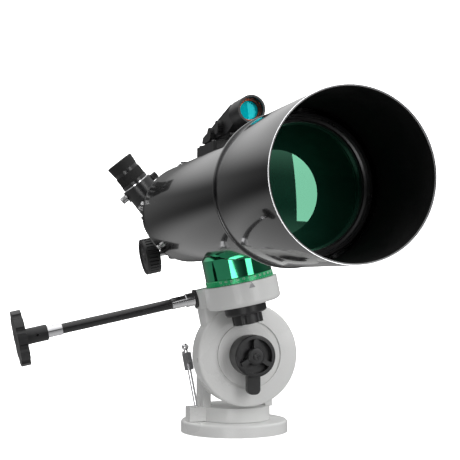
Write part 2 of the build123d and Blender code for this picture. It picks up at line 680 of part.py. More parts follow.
# ================= star diagonal and eyepiece =================
def build_diagonal():
    half = diagonal_half
    gap_front = diagonal_gap
    body = Box(2 * half, 2 * half, 2 * half)
    body = fillet(body.edges().filter_by(Axis.Z), 3)
    cutter = Rot(45, 0, 0) * Pos(0, 0, -mirror_thick - back_wall - half) * Box(3 * half, 5 * half, 2 * half)
    body -= cutter
    light_path = Sphere(diagonal_bore) + rod_y_axis(diagonal_bore, -half - 1, 0) + rod_z(diagonal_bore, 0, half + 1)
    light_path -= Rot(45, 0, 0) * Pos(0, 0, -mirror_thick - half) * Box(4 * half, 4 * half, 2 * half)
    body -= light_path
    save("diagonal_body", body, diagonal_place_at)
    plate_place = Rot(45, 0, 0) * Pos(0, 0, -mirror_thick - back_wall - plate_thick / 2)
    plate = plate_place * Box(2 * half + 2, 2 * half + 6, plate_thick)
    plate = fillet(plate.edges().filter_by(lambda edge: abs(edge.length - plate_thick) < 0.01), 3)
    save("diagonal_back_plate", plate, diagonal_place_at)
    nose = rod_y_axis(nose_r, -half - gap_front - collar_length - 6, -half)
    flange = rod_y_axis(nose_r + 3.5, -half - gap_front + face_gap, -half)
    nose = nose + flange - rod_y_axis(13.5, -200, 0)
    save("diagonal_nosepiece", nose, diagonal_place_at)
    mirror = Rot(45, 0, 0) * Pos(0, 0, -mirror_thick / 2) * Cylinder(diagonal_bore - 0.5, mirror_thick)
    save("diagonal_mirror", mirror, diagonal_place_at)
    holder_top = half + holder_length
    holder = rod_z(holder_r - 1.5, half, holder_top)
    holder += rod_z(holder_r, holder_top - 13, holder_top)
    holder = fillet(holder.edges().group_by(Axis.Z)[-1], 1)
    holder -= rod_z(nose_r + run_gap, half - 1, holder_top + 1)
    screw_z = holder_top - 6.0
    for side in (-1, 1):
        holder -= Pos(0, 0, screw_z) * Rot(0, 90 * side, 0) * rod_z(1.6 + run_gap, nose_r - 1, holder_r + 1)
    save("eyepiece_holder", holder, diagonal_place_at)
    for side, name in ((-1, "holder_screw_left"), (1, "holder_screw_right")):
        screw = thumbscrew(1.6, holder_r - nose_r - face_gap, 4.2, 7)
        place = Pos(0, 0, screw_z) * Rot(0, 90 * side, 0) * Pos(0, 0, holder_r + face_gap)
        save(name, screw, diagonal_place_at * place)


def build_eyepiece():
    low = diagonal_half + holder_length
    barrel = rod_z(nose_r, low - 16, low + 1) - rod_z(13.8, low - 17, low + 2)
    save("eyepiece_barrel", barrel, diagonal_place_at)
    groove_z = low + 0.6 * (eyepiece_top - low)
    body = rod_z(eyepiece_r + 1.2, low + 1, low + 5)
    body += rod_z(eyepiece_r, low + 5, eyepiece_top)
    body -= rod_z(eyepiece_r + 2, groove_z, groove_z + 2) - rod_z(eyepiece_r - 0.8, groove_z - 1, groove_z + 3)
    body -= rod_z(11, low, eyepiece_top - 3)
    body -= rod_z(8, low, eyepiece_top + 1)
    save("eyepiece_body", body, diagonal_place_at)
    field = rod_z(11 - seat_gap, low + 6, low + 12)
    eye = rod_z(8 - seat_gap, eyepiece_top - 4, eyepiece_top - 0.5)
    save("eyepiece_lenses", Compound(children=[field, eye]), diagonal_place_at)
    cup = Pos(0, 0, (eyepiece_top + eyecup_top) / 2) * Cone(eyepiece_r + 0.4, eyepiece_r + 1.4,
                                                          eyecup_top - eyepiece_top)
    cup = fillet(cup.edges().group_by(Axis.Z)[-1], 1)
    cup -= Pos(0, 0, (eyepiece_top + eyecup_top) / 2 + 1) * Cone(9, 12.5, eyecup_top - eyepiece_top + 0.01)
    cup -= rod_z(8.5, eyepiece_top - 1, eyepiece_top + 3)
    save("eye_cup", cup, diagonal_place_at)


# ================= finder =================
def build_finder():
    shoe = block(-shoe_half_width, shoe_half_width, along(shoe_front), along(shoe_rear), tube_r - 6, shoe_height)
    shoe = fillet(shoe.edges().filter_by(Axis.Z), 3)
    shoe -= rod_y_axis(tube_r + seat_gap, along(0), along(tube_rear))
    foot_half = 8.0
    channel = block(-foot_half - seat_gap, foot_half + seat_gap, along(shoe_front) - 1, along(shoe_rear) + 1,
                    tube_r + 3, shoe_height + 1)
    shoe -= channel
    save("finder_shoe", shoe, finder_place)
    foot = block(-foot_half, foot_half, along(shoe_front) + 4, along(shoe_rear) - 4, tube_r + 3.05, shoe_height + 2)
    foot += block(-foot_half + 1, foot_half - 1, along(shoe_front) - 30, along(shoe_rear) - 6, shoe_height + 1.95,
                  shoe_height + 4)
    rear_of_hood = hood_front + hood_length
    low = shoe_height + 4
    outline = Polyline((along(rear_of_hood - 8), finder_axis - 8), (along(rear_of_hood - 4), finder_axis + 8),
                       (along(rear_of_hood + 6), finder_axis + 9), (along(shoe_rear - 6), low + 6),
                       (along(shoe_rear - 3), low), (along(shoe_front - 28), low), close=True)
    body = extrude(make_face(Plane.YZ * outline), finder_half_width, both=True)
    body = fillet(body.edges().filter_by(Axis.X), 1.5)
    body += foot
    body -= rod_y_axis(hood_r + seat_gap, along(hood_front), along(rear_of_hood), 0, finder_axis)
    for place, height in wheel_places:
        body -= rod_x(1.5 + run_gap, -finder_half_width - 1, -finder_half_width + 6, along(place), height)
    body -= rod_x(3.05, finder_half_width - 2, finder_half_width + 1, along(shoe_rear - 30), low + 8)
    save("finder_body", body, finder_place)
    hood = rod_y_axis(hood_r, along(hood_front), along(rear_of_hood), 0, finder_axis)
    hood -= rod_y_axis(hood_r - hood_wall, along(hood_front) - 1, along(rear_of_hood) - 2, 0, finder_axis)
    save("finder_hood", hood, finder_place)
    window = rod_y_axis(hood_r - hood_wall - seat_gap, along(hood_front) + 9, along(hood_front) + 11, 0, finder_axis)
    save("finder_window", window, finder_place)
    for (place, height), name in zip(wheel_places, ("finder_wheel_side", "finder_wheel_height")):
        wheel = Pos(-finder_half_width - face_gap, along(place), height) * Rot(0, -90, 0) * ribbed_wheel()
        save(name, wheel, finder_place)
    switch = rod_x(3, finder_half_width - 1.5, finder_half_width + 2, along(shoe_rear - 30), low + 8)
    save("finder_switch", switch, finder_place)


def finder_shoe_screws():
    """The four screw heads that hold the finder shoe, in their place."""
    screws = []
    for side in (-1, 1):
        for place in (shoe_front + 10, shoe_rear - 10):
            x = side * (shoe_half_width - 3)
            screws.append(finder_place * rod_z(2.4, shoe_height, shoe_height + 1.6, x, along(place)))
    return screws


def ribbed_wheel():
    wheel = rod_z(finder_wheel_r, 0, finder_wheel_thick) + rod_z(1.5, -4, 0.1)
    ribs = 24
    for index in range(ribs):
        turn = Rot(0, 0, 360 / ribs * index)
        wheel -= turn * Pos(finder_wheel_r, 0, finder_wheel_thick / 2) * Rot(0, 0, 45) * Box(
            0.8, 0.8, finder_wheel_thick + 1)
    return wheel


build_base()
build_column()
build_azimuth_bolt()
build_polar()
build_casting()
build_clamp()
build_declination()
build_hub()
build_slow_motion()
build_tube()
build_focuser()
build_drawtube()
build_pinion()
build_diagonal()
build_eyepiece()
build_finder()
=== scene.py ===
"""Looks of a short refractor telescope on a small equatorial mount head.

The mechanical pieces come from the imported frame. This file gives each of them a finish, replaces the large
turned pieces by finely divided surfaces, and adds the small trim: scales, inserts, screws, bands and liners.
"""

import json
import logging
import math
from dataclasses import dataclass
from enum import Enum

import bmesh
import bpy
import numpy as np
from mathutils import Matrix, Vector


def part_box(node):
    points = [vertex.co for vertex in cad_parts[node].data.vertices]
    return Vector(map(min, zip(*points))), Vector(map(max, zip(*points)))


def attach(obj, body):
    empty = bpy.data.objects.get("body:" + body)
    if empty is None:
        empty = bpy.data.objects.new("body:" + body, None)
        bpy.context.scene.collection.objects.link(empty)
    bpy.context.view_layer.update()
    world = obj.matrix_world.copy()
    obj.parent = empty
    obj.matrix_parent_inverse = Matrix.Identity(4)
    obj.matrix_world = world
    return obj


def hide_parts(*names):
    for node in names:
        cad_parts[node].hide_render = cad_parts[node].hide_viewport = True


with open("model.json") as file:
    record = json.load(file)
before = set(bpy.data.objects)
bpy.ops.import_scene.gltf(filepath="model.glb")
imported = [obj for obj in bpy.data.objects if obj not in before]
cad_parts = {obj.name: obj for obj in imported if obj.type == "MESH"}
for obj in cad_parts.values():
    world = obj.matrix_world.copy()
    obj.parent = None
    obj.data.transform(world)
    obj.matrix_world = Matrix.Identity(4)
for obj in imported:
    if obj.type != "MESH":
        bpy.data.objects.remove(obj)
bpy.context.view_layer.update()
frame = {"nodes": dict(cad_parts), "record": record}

LOG = logging.getLogger("telescope")
MM = 0.001
FINE_TURN = 256         # points round the dew shield, the tube and their rings
LENS_TURN = 192         # points round the lens and its thread
SMALL_TURN = 96         # points round the inserts and the finder
SCREW_TURN = 64         # points round screws and caps
LEAN = math.radians(12.0)
DIAGONAL_TURN = math.radians(-27.0)


class Axis(Enum):
    """The head's own directions, as unit vectors in the row frame."""

    RIGHT = (math.cos(LEAN), 0.0, math.sin(LEAN))
    BACK = (0.0, 1.0, 0.0)
    UP = (-math.sin(LEAN), 0.0, math.cos(LEAN))
    EYE = (math.sin(DIAGONAL_TURN - LEAN), 0.0, math.cos(DIAGONAL_TURN - LEAN))
    WORLD_UP = (0.0, 0.0, 1.0)

    @property
    def vector(self) -> np.ndarray:
        """The direction as an array."""
        return np.array(self.value)


# ------------------------------------------------------------------ shader groups


def new_group(name: str, inputs: dict[str, float], outputs: tuple[str, ...]) -> bpy.types.NodeTree:
    """Start a shader node group with a vector input, named number inputs and number outputs.

    Args:
        name: the group's name.
        inputs: input names and their usual values.
        outputs: output names.

    Returns:
        The node tree, holding its group input and output nodes.
    """
    tree = bpy.data.node_groups.new(name, "ShaderNodeTree")
    tree.interface.new_socket("Vector", in_out="INPUT", socket_type="NodeSocketVector")
    for key, value in inputs.items():
        socket = tree.interface.new_socket(key, in_out="INPUT", socket_type="NodeSocketFloat")
        socket.default_value = value
    for key in outputs:
        tree.interface.new_socket(key, in_out="OUTPUT", socket_type="NodeSocketFloat")
    tree.nodes.new("NodeGroupInput")
    tree.nodes.new("NodeGroupOutput")
    return tree


def math_node(tree: bpy.types.NodeTree, operation: str, first, second) -> bpy.types.NodeSocket:
    """Add a math node whose inputs are sockets or numbers.

    Args:
        tree: the tree to add to.
        operation: the node's operation.
        first: a socket or a number.
        second: a socket or a number.

    Returns:
        The node's output socket.
    """
    node = tree.nodes.new("ShaderNodeMath")
    node.operation = operation
    for socket, value in zip(node.inputs, (first, second)):
        if isinstance(value, bpy.types.NodeSocket):
            tree.links.new(value, socket)
        else:
            socket.default_value = value
    return node.outputs[0]


def grain_group() -> bpy.types.NodeTree:
    """Fine grain and slow patches: two noises of the place on the surface.

    Returns:
        A group with Grain, the fine height, and Patch, a slow mask from 0 to 1.
    """
    tree = new_group("surface_grain", {"Fine": 900.0, "Slow": 25.0}, ("Grain", "Patch"))
    source, sink = tree.nodes[0], tree.nodes[1]
    for key, detail, output in (("Fine", 3.0, "Grain"), ("Slow", 5.0, "Patch")):
        noise = tree.nodes.new("ShaderNodeTexNoise")
        noise.inputs["Detail"].default_value = detail
        tree.links.new(source.outputs["Vector"], noise.inputs["Vector"])
        tree.links.new(source.outputs[key], noise.inputs["Scale"])
        if output == "Grain":
            tree.links.new(noise.outputs["Fac"], sink.inputs[output])
            continue
        spread = tree.nodes.new("ShaderNodeMapRange")
        spread.inputs["From Min"].default_value = 0.35
        spread.inputs["From Max"].default_value = 0.68
        tree.links.new(noise.outputs["Fac"], spread.inputs["Value"])
        tree.links.new(spread.outputs["Result"], sink.inputs[output])
    return tree


def wear_group() -> bpy.types.NodeTree:
    """Wear along edges: where a rounded normal leaves the flat one, broken up by noise.

    Returns:
        A group with Wear, a mask that is 1 on worn edges.
    """
    tree = new_group("edge_wear", {"Amount": 0.5}, ("Wear",))
    source, sink = tree.nodes[0], tree.nodes[1]
    bevel = tree.nodes.new("ShaderNodeBevel")
    bevel.samples = 4
    bevel.inputs["Radius"].default_value = 0.5 * MM
    geometry = tree.nodes.new("ShaderNodeNewGeometry")
    dot = tree.nodes.new("ShaderNodeVectorMath")
    dot.operation = "DOT_PRODUCT"
    tree.links.new(bevel.outputs["Normal"], dot.inputs[0])
    tree.links.new(geometry.outputs["Normal"], dot.inputs[1])
    edge = math_node(tree, "SUBTRACT", 1.0, dot.outputs["Value"])
    noise = tree.nodes.new("ShaderNodeTexNoise")
    noise.inputs["Scale"].default_value = 220.0
    noise.inputs["Detail"].default_value = 4.0
    tree.links.new(source.outputs["Vector"], noise.inputs["Vector"])
    broken = math_node(tree, "MULTIPLY", edge, noise.outputs["Fac"])
    strong = math_node(tree, "MULTIPLY", broken, 9.0)
    amount = math_node(tree, "MULTIPLY", strong, source.outputs["Amount"])
    clamped = math_node(tree, "MINIMUM", amount, 1.0)
    tree.links.new(clamped, sink.inputs["Wear"])
    return tree


def dust_group() -> bpy.types.NodeTree:
    """Fine dust on what faces up: the normal's height times small specks.

    Returns:
        A group with Dust, a mask that is 1 under a speck.
    """
    tree = new_group("settled_dust", {"Specks": 1500.0}, ("Dust",))
    source, sink = tree.nodes[0], tree.nodes[1]
    geometry = tree.nodes.new("ShaderNodeNewGeometry")
    split = tree.nodes.new("ShaderNodeSeparateXYZ")
    tree.links.new(geometry.outputs["Normal"], split.inputs["Vector"])
    up = math_node(tree, "MAXIMUM", split.outputs["Z"], 0.0)
    noise = tree.nodes.new("ShaderNodeTexNoise")
    noise.inputs["Detail"].default_value = 2.0
    tree.links.new(source.outputs["Vector"], noise.inputs["Vector"])
    tree.links.new(source.outputs["Specks"], noise.inputs["Scale"])
    specks = tree.nodes.new("ShaderNodeMapRange")
    specks.inputs["From Min"].default_value = 0.62
    specks.inputs["From Max"].default_value = 0.75
    tree.links.new(noise.outputs["Fac"], specks.inputs["Value"])
    tree.links.new(math_node(tree, "MULTIPLY", up, specks.outputs["Result"]), sink.inputs["Dust"])
    return tree


# ------------------------------------------------------------------ finishes


class Grain(Enum):
    """How a finish's grain lies: even, or drawn out round a turned piece."""

    EVEN = (1.0, 1.0, 1.0)
    TURNED_SIDE = (9.0, 0.25, 0.25)
    TURNED_UP = (0.25, 0.25, 9.0)


@dataclass(frozen=True)
class Finish:
    """One surface finish, from which a material is made.

    The colour drifts to a second colour in slow patches and to a third on worn edges, the roughness follows
    the patches and the dust, and the fine grain raises the surface.
    """

    name: str
    colour: tuple[float, float, float]
    patch_colour: tuple[float, float, float]
    worn_colour: tuple[float, float, float]
    metallic: float = 0.0
    roughness: tuple[float, float] = (0.3, 0.4)
    fine: float = 900.0
    slow: float = 25.0
    bump: float = 0.1
    depth: float = 0.1 * MM
    wear: float = 0.3
    dust: float = 0.3
    grain: Grain = Grain.EVEN
    coat: float = 0.0
    coat_roughness: float = 0.05
    ior: float = 1.5
    specular: float = 0.5
    tint: tuple[float, float, float] = (1.0, 1.0, 1.0)
    transmission: float = 0.0
    alpha: float = 1.0

    def _mix(self, tree: bpy.types.NodeTree, mask: bpy.types.NodeSocket, first,
             second: tuple[float, float, float]) -> bpy.types.NodeSocket:
        """Mix a colour or socket into another by a mask.

        Args:
            tree: the material's tree.
            mask: where the second colour shows.
            first: a colour or a colour socket.
            second: a colour.

        Returns:
            The mixed colour's socket.
        """
        node = tree.nodes.new("ShaderNodeMix")
        node.data_type = "RGBA"
        tree.links.new(mask, node.inputs[0])
        if isinstance(first, bpy.types.NodeSocket):
            tree.links.new(first, node.inputs[6])
        else:
            node.inputs[6].default_value = (*first, 1.0)
        node.inputs[7].default_value = (*second, 1.0)
        return node.outputs[2]

    def _group(self, tree: bpy.types.NodeTree, name: str, vector: bpy.types.NodeSocket, **values: float):
        """Place a shared group in the tree and set its numbers."""
        node = tree.nodes.new("ShaderNodeGroup")
        node.node_tree = bpy.data.node_groups[name]
        tree.links.new(vector, node.inputs["Vector"])
        for key, value in values.items():
            node.inputs[key].default_value = value
        return node

    def build(self) -> bpy.types.Material:
        """Make the material.

        Returns:
            The new material.
        """
        material = bpy.data.materials.new(self.name)
        material.use_nodes = True
        tree = material.node_tree
        shader = tree.nodes["Principled BSDF"]
        place = tree.nodes.new("ShaderNodeTexCoord")
        mapping = tree.nodes.new("ShaderNodeMapping")
        mapping.inputs["Scale"].default_value = self.grain.value
        tree.links.new(place.outputs["Object"], mapping.inputs["Vector"])
        vector = mapping.outputs["Vector"]
        grain = self._group(tree, "surface_grain", vector, Fine=self.fine, Slow=self.slow)
        colour = self._mix(tree, grain.outputs["Patch"], self.colour, self.patch_colour)
        if self.wear > 0:
            wear = self._group(tree, "edge_wear", place.outputs["Object"], Amount=self.wear)
            colour = self._mix(tree, wear.outputs["Wear"], colour, self.worn_colour)
        tree.links.new(colour, shader.inputs["Base Color"])
        low, high = self.roughness
        rough = math_node(tree, "MULTIPLY", grain.outputs["Patch"], high - low)
        rough = math_node(tree, "ADD", rough, low)
        if self.dust > 0:
            dust = self._group(tree, "settled_dust", place.outputs["Object"])
            matt = math_node(tree, "MULTIPLY", dust.outputs["Dust"], self.dust)
            rough = math_node(tree, "ADD", rough, matt)
        tree.links.new(rough, shader.inputs["Roughness"])
        bump = tree.nodes.new("ShaderNodeBump")
        bump.inputs["Strength"].default_value = self.bump
        bump.inputs["Distance"].default_value = self.depth
        tree.links.new(grain.outputs["Grain"], bump.inputs["Height"])
        tree.links.new(bump.outputs["Normal"], shader.inputs["Normal"])
        shader.inputs["Metallic"].default_value = self.metallic
        shader.inputs["Coat Weight"].default_value = self.coat
        shader.inputs["Coat Roughness"].default_value = self.coat_roughness
        shader.inputs["IOR"].default_value = self.ior
        shader.inputs["Specular IOR Level"].default_value = self.specular
        shader.inputs["Specular Tint"].default_value = (*self.tint, 1.0)
        shader.inputs["Transmission Weight"].default_value = self.transmission
        shader.inputs["Alpha"].default_value = self.alpha
        return material


BLACK = (0.010, 0.010, 0.011)
DARK = (0.022, 0.022, 0.023)
STEEL = (0.60, 0.60, 0.60)
FINISHES = (
    Finish("white_paint", (0.84, 0.84, 0.83), (0.81, 0.815, 0.805), (0.62, 0.62, 0.61),
           roughness=(0.26, 0.36), fine=620.0, slow=14.0, bump=0.5, depth=0.25 * MM, wear=0.5, coat=0.25,
           coat_roughness=0.15),
    Finish("gloss_black", (0.006, 0.006, 0.007), (0.010, 0.010, 0.012), (0.05, 0.05, 0.05),
           roughness=(0.10, 0.16), fine=300.0, slow=10.0, bump=0.05, depth=0.05 * MM, wear=0.15,
           dust=0.25, coat=0.8, coat_roughness=0.03),
    Finish("black_metal", BLACK, (0.018, 0.018, 0.019), (0.14, 0.14, 0.14), roughness=(0.24, 0.36),
           fine=1500.0, slow=30.0, bump=0.25, wear=0.35),
    Finish("black_plastic", (0.013, 0.013, 0.014), DARK, (0.05, 0.05, 0.05), roughness=(0.30, 0.45),
           fine=2200.0, slow=40.0, bump=0.35, wear=0.3),
    Finish("black_rod", BLACK, (0.014, 0.014, 0.015), (0.2, 0.2, 0.2), roughness=(0.18, 0.26),
           fine=1200.0, slow=50.0, bump=0.12, wear=0.2, grain=Grain.TURNED_SIDE, coat=0.3),
    Finish("bright_steel", STEEL, (0.52, 0.52, 0.53), (0.8, 0.8, 0.8), metallic=1.0,
           roughness=(0.16, 0.30), fine=2500.0, slow=120.0, bump=0.2, depth=0.04 * MM, wear=0.2,
           dust=0.1, grain=Grain.TURNED_SIDE),
    Finish("chrome", (0.80, 0.80, 0.81), (0.74, 0.74, 0.76), (0.9, 0.9, 0.9), metallic=1.0,
           roughness=(0.05, 0.12), fine=1800.0, slow=90.0, bump=0.08, depth=0.03 * MM, wear=0.1,
           dust=0.15),
    Finish("grey_casting", (0.30, 0.30, 0.31), (0.22, 0.22, 0.23), (0.6, 0.6, 0.6), metallic=0.7,
           roughness=(0.34, 0.5), fine=1100.0, slow=60.0, bump=0.5, depth=0.15 * MM, wear=0.6),
    Finish("brass", (0.75, 0.55, 0.25), (0.62, 0.44, 0.2), (0.9, 0.75, 0.4), metallic=1.0,
           roughness=(0.2, 0.35), fine=2000.0, bump=0.15),
    Finish("green_anodised", (0.012, 0.20, 0.085), (0.010, 0.16, 0.07), (0.25, 0.5, 0.35), metallic=0.9,
           roughness=(0.14, 0.22), fine=2600.0, slow=40.0, bump=0.1, depth=0.03 * MM, wear=0.35,
           dust=0.2, grain=Grain.TURNED_UP, coat=0.4),
    Finish("green_mirror", (0.05, 0.46, 0.22), (0.04, 0.38, 0.18), (0.35, 0.65, 0.45), metallic=1.0,
           roughness=(0.04, 0.08), fine=2600.0, slow=60.0, bump=0.03, depth=0.02 * MM, wear=0.2,
           dust=0.08, coat=0.3),
    Finish("green_satin", (0.025, 0.56, 0.20), (0.02, 0.50, 0.18), (0.3, 0.6, 0.4), metallic=0.25,
           roughness=(0.24, 0.34), fine=2600.0, slow=60.0, bump=0.1, depth=0.03 * MM, wear=0.3,
           dust=0.15),
    Finish("coated_glass", (0.006, 0.075, 0.042), (0.005, 0.06, 0.035), (0.02, 0.12, 0.07),
           roughness=(0.01, 0.03), fine=80.0, slow=12.0, bump=0.01, wear=0.0, dust=0.08, ior=1.9,
           specular=0.9, tint=(0.34, 0.95, 0.62), transmission=0.2),
    Finish("finder_glass", (0.0, 0.78, 0.90), (0.0, 0.70, 0.84), (0.1, 0.7, 0.7), roughness=(0.02, 0.05),
           fine=80.0, slow=60.0, bump=0.01, wear=0.0, dust=0.1, ior=1.6, tint=(0.1, 1.0, 1.0),
           transmission=0.1),
    Finish("mirror_silver", (0.88, 0.88, 0.88), (0.84, 0.84, 0.85), (0.9, 0.9, 0.9), metallic=1.0,
           roughness=(0.02, 0.05), wear=0.0, bump=0.01),
    Finish("rubber", (0.014, 0.014, 0.014), (0.024, 0.024, 0.024), (0.05, 0.05, 0.05),
           roughness=(0.55, 0.75), fine=1800.0, slow=60.0, bump=0.4, wear=0.2, specular=0.3),
    Finish("flocked_black", (0.004, 0.004, 0.004), (0.008, 0.008, 0.008), (0.01, 0.01, 0.01),
           roughness=(0.62, 0.8), fine=3000.0, slow=50.0, bump=0.6, wear=0.0, specular=0.25),
    Finish("red_coating", (0.75, 0.14, 0.03), (0.6, 0.08, 0.02), (0.8, 0.3, 0.1), metallic=0.6,
           roughness=(0.1, 0.2), wear=0.0, bump=0.02),
    Finish("scale_white", (0.72, 0.76, 0.73), (0.62, 0.68, 0.64), (0.4, 0.5, 0.45),
           roughness=(0.4, 0.55), fine=3000.0, bump=0.15, wear=0.0),
)
OWN_FINISH = {"saddle_hub": "green_mirror", "setting_circle": "green_satin"}


class Paintbox:
    """Holds the finished materials by name and puts them on pieces."""

    def __init__(self) -> None:
        """Build the shared groups and every finish."""
        grain_group()
        wear_group()
        dust_group()
        self.materials = {finish.name: finish.build() for finish in FINISHES}

    def dress(self, piece: bpy.types.Object, finish: str) -> None:
        """Give a new piece its finish."""
        piece.data.materials.clear()
        piece.data.materials.append(self.materials[finish])

    def dress_cad(self) -> None:
        """Give each node of the frame its slot's finish, welded facets and smooth turned faces."""
        for part in frame["record"]["subparts"]:
            node = frame["nodes"][part["node"]]
            if not node.material_slots:
                node.data.materials.append(None)
            for place in node.material_slots:
                place.material = self.materials[OWN_FINISH.get(part["node"], part["material_slot"])]
            node.data.polygons.foreach_set("use_smooth", np.ones(len(node.data.polygons), dtype=bool))
            weld = node.modifiers.new("weld", "WELD")
            weld.merge_threshold = 0.002 * MM
            split = node.modifiers.new("sharp_edges", "EDGE_SPLIT")
            split.split_angle = math.radians(32)
            LOG.info("node %s dressed as %s", part["node"], part["material_slot"])


# ------------------------------------------------------------------ mesh helpers


def finish_mesh(name: str, points: np.ndarray, faces: np.ndarray, smooth: float = 35.0) -> bpy.types.Object:
    """Make an object from arrays, merge its doubles, turn its faces outwards and smooth it below an angle.

    Args:
        name: the piece's name.
        points: places in metres, one row each.
        faces: four point numbers a row.
        smooth: edges sharper than this many degrees stay sharp.

    Returns:
        The new object, at the origin.
    """
    mesh = bpy.data.meshes.new(name)
    mesh.from_pydata(points.tolist(), [], faces.tolist())
    work = bmesh.new()
    work.from_mesh(mesh)
    bmesh.ops.remove_doubles(work, verts=work.verts, dist=0.0005 * MM)
    bmesh.ops.dissolve_degenerate(work, edges=work.edges, dist=0.0001 * MM)
    bmesh.ops.recalc_face_normals(work, faces=work.faces)
    work.to_mesh(mesh)
    work.free()
    mesh.shade_smooth()
    mesh.set_sharp_from_angle(angle=math.radians(smooth))
    piece = bpy.data.objects.new(name, mesh)
    bpy.context.scene.collection.objects.link(piece)
    return piece


def grid_faces(rows: int, columns: int) -> np.ndarray:
    """Quads of a grid that closes both ways.

    Args:
        rows: points along the profile.
        columns: points around.

    Returns:
        One row of four point numbers for each quad.
    """
    row, column = np.meshgrid(np.arange(rows), np.arange(columns), indexing="ij")
    next_row = (row + 1) % rows
    next_column = (column + 1) % columns
    corners = (row * columns + column, row * columns + next_column, next_row * columns + next_column,
               next_row * columns + column)
    return np.stack([corner.ravel() for corner in corners], axis=1)


def rounded(profile: list[tuple[float, float]], radius: float, steps: int = 3) -> np.ndarray:
    """Round the corners of a closed (radius, height) outline.

    Each corner becomes a quadratic curve from a point before it to a point after it, both at the given
    distance or a third of the way to the neighbour, whichever is nearer.

    Args:
        profile: the outline's corners, in millimetres.
        radius: distance of the curve's ends from the corner.
        steps: straight pieces in each curve.

    Returns:
        The rounded outline, in metres.
    """
    corner = np.array(profile, dtype=float)
    before = np.roll(corner, 1, axis=0) - corner
    after = np.roll(corner, -1, axis=0) - corner
    reach_before = np.minimum(radius / np.linalg.norm(before, axis=1), 0.33)[:, None]
    reach_after = np.minimum(radius / np.linalg.norm(after, axis=1), 0.33)[:, None]
    t = np.linspace(0, 1, steps + 1)[None, :, None]
    start = (corner + before * reach_before)[:, None]
    end = (corner + after * reach_after)[:, None]
    curve = (1 - t) ** 2 * start + 2 * t * (1 - t) * corner[:, None] + t ** 2 * end
    return curve.reshape(-1, 2) * MM


def turned(name: str, outline: np.ndarray, centre: np.ndarray, axis: Axis, around: int = 128,
           wave: tuple[int, float] = (0, 0.0), smooth: float = 35.0) -> bpy.types.Object:
    """A piece turned about an axis from a closed outline.

    The point at angle a of outline point (r, h) is centre + h * axis + r * (cos a * side + sin a * other).
    Where a wave is given, r on the outline's rim grows by its height times the cosine of its count times a,
    and no lower than a fifth of the height inwards.

    Args:
        name: the piece's name.
        outline: (radius, height along the axis) rows, in metres.
        centre: where the outline's zero height lies.
        axis: the turning axis.
        around: points round the axis.
        wave: number of ribs and their height in metres.
        smooth: edges sharper than this many degrees stay sharp.

    Returns:
        The new object.
    """
    along = axis.vector
    helper = Axis.BACK.vector if abs(along[1]) < 0.9 else Axis.WORLD_UP.vector
    side = np.cross(helper, along)
    side = side / np.linalg.norm(side)
    other = np.cross(along, side)
    angle = np.linspace(0, 2 * math.pi, around, endpoint=False)
    count, height = wave
    rim = (outline[:, 0] > 0.97 * outline[:, 0].max()).astype(float)
    ribs = height * np.maximum(np.cos(count * angle), -0.2)
    radius = outline[:, 0][:, None] + rim[:, None] * ribs[None, :]
    turn = np.cos(angle)[:, None] * side + np.sin(angle)[:, None] * other
    points = centre + outline[:, 1][:, None, None] * along + radius[:, :, None] * turn[None]
    return finish_mesh(name, points.reshape(-1, 3), grid_faces(len(outline), around), smooth)


def ring_outline(inner: float, outer: float, low: float, high: float, radius: float) -> np.ndarray:
    """A rounded rectangular outline of a ring, sizes in millimetres."""
    return rounded([(inner, low), (outer, low), (outer, high), (inner, high)], radius)


def boxes(name: str, centres: np.ndarray, across: np.ndarray, out: np.ndarray, up: np.ndarray,
          half: np.ndarray) -> bpy.types.Object:
    """Many small blocks in one piece.

    Corner (i, j, k) of block n is centre n + i * half across + j * half out + k * half up, where i, j and k
    are each -1 or 1.

    Args:
        name: the piece's name.
        centres: block centres.
        across: unit directions, one for each block.
        out: unit directions, one for each block.
        up: unit directions, one for each block.
        half: half sizes, one row of three for each block.

    Returns:
        The new object.
    """
    signs = np.array([(i, j, k) for i in (-1, 1) for j in (-1, 1) for k in (-1, 1)], dtype=float)
    basis = np.stack([across, out, up], axis=1) * half[:, :, None]
    points = centres[:, None] + np.einsum("sc,ncx->nsx", signs, basis)
    quads = np.array([(0, 1, 3, 2), (4, 6, 7, 5), (0, 4, 5, 1), (2, 3, 7, 6), (0, 2, 6, 4), (1, 5, 7, 3)])
    faces = (quads[None] + 8 * np.arange(len(centres))[:, None, None]).reshape(-1, 4)
    return finish_mesh(name, points.reshape(-1, 3), faces, 20.0)


def node_centre(node: str) -> np.ndarray:
    """The middle of a node's box, in metres."""
    low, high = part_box(node)
    return (np.array(low) + np.array(high)) / 2


def settle(piece: bpy.types.Object, body: str, finish: str, paint: Paintbox, *nodes: str) -> None:
    """Ride a new piece on its body, dress it, hide what it stands for and report it."""
    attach(piece, body)
    paint.dress(piece, finish)
    if nodes:
        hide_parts(*nodes)
    LOG.info("piece %s rides on %s", piece.name, body)


# ------------------------------------------------------------------ sub-assemblies


